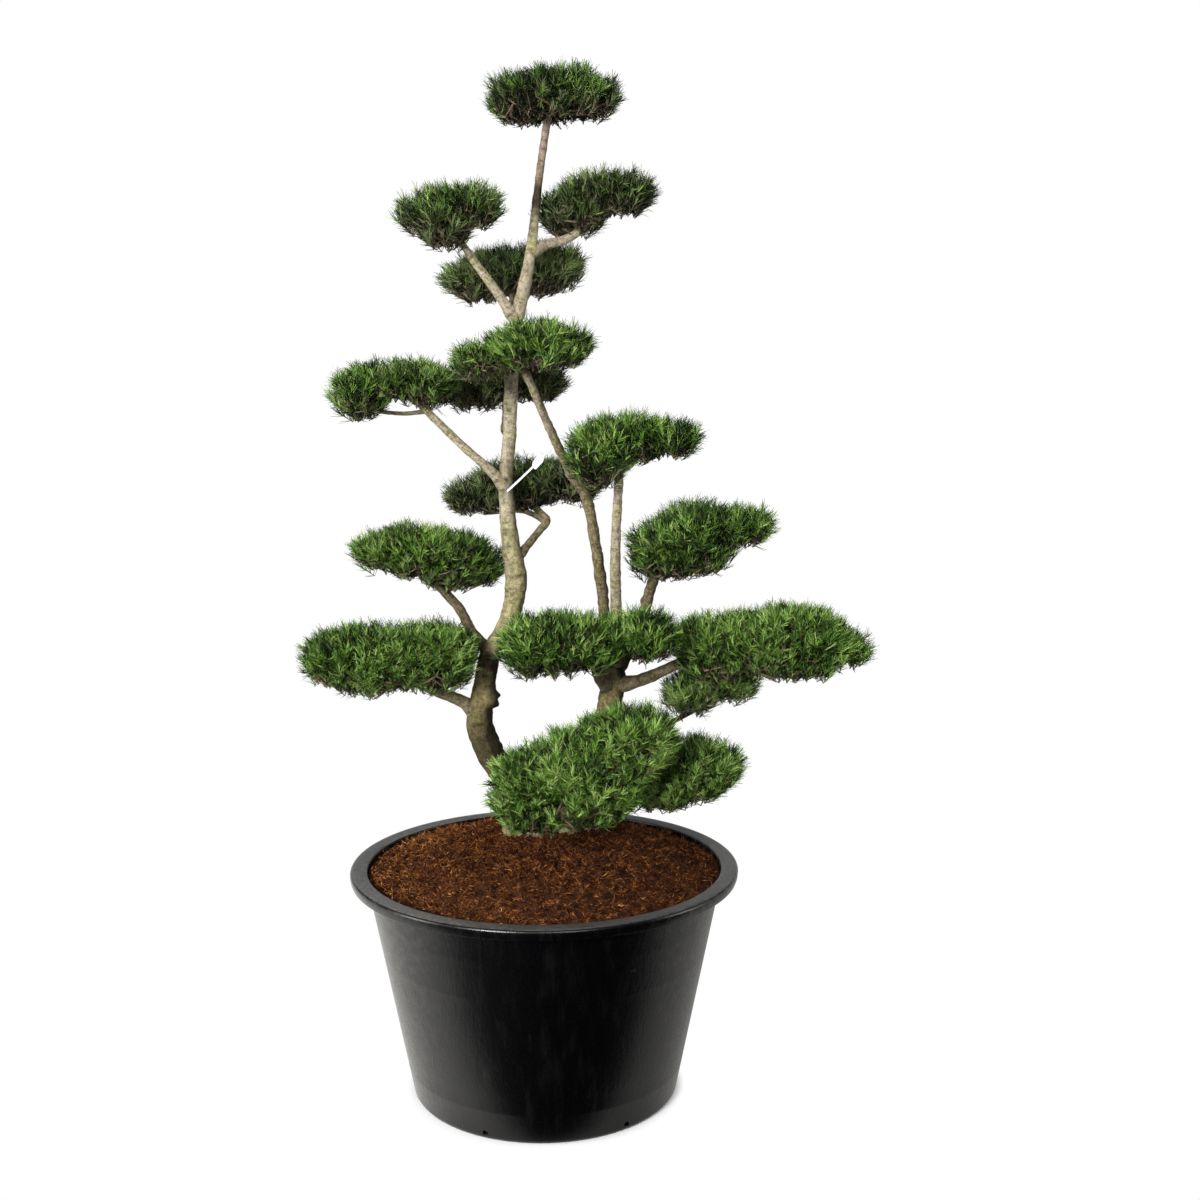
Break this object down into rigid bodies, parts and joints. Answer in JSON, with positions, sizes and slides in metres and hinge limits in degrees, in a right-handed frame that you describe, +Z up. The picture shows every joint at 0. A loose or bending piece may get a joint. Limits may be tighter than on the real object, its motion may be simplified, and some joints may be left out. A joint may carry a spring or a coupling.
{
  "type": "lodgepole pine bonsai",
  "caption": "Tall pine trained as a bonsai in a round plastic tub: bare bent stems, open boughs and clipped, flat-topped cloud pads of needles.",
  "frame": {"origin": "centre of the pot's flat underside", "axes": "+Z up, -Y towards the front of the tree, +X to the right seen from the front"},
  "size_m": [1.6827, 1.164, 3.0336],
  "materials": {
    "pot_plastic": "black moulded polyethylene, satin, dusty with faint streaks and scuffs",
    "soil": "red-brown shredded coir and bark mulch, matt",
    "bark_trunk": "thin flaky bark, olive to grey-tan with dark knots and scars, matt",
    "bark_bough": "smooth young bark, pale pinkish tan with ring scars, matt",
    "pine_needles": "fresh yellow-green needles, slightly glossy",
    "label_plastic": "white plastic strap label, blank"
  },
  "bodies": {
    "root": {"pot": "pot_plastic", "soil": "soil", "main_trunk": "bark_trunk", "second_trunk": "bark_trunk", "bough_upper_left": "bark_bough", "bough_upper_back": "bark_bough", "bough_upper_right": "bark_bough", "bough_middle_left": "bark_bough", "bough_middle_back": "bark_bough", "bough_centre_back": "bark_bough", "bough_left": "bark_bough", "bough_low_left": "bark_bough", "bough_middle_front": "bark_bough", "bough_middle_right": "bark_bough", "bough_right": "bark_bough", "bough_low_right": "bark_bough", "bough_low_centre": "bark_bough", "bough_low_under": "bark_bough", "bough_front_left": "bark_bough", "bough_front_right": "bark_bough", "bough_middle_left_outer": "bark_bough", "bough_centre_back_side": "bark_bough", "pad_top": "pine_needles", "pad_upper_left": "pine_needles", "pad_upper_right": "pine_needles", "pad_upper_back": "pine_needles", "pad_middle_front": "pine_needles", "pad_middle_left": "pine_needles", "pad_middle_back": "pine_needles", "pad_middle_right": "pine_needles", "pad_centre_back": "pine_needles", "pad_left": "pine_needles", "pad_right": "pine_needles", "pad_low_left": "pine_needles", "pad_low_centre": "pine_needles", "pad_low_right": "pine_needles", "pad_low_under": "pine_needles", "pad_front_left": "pine_needles", "pad_front_right": "pine_needles", "blank_label": "label_plastic"}
  },
  "joints": []
}
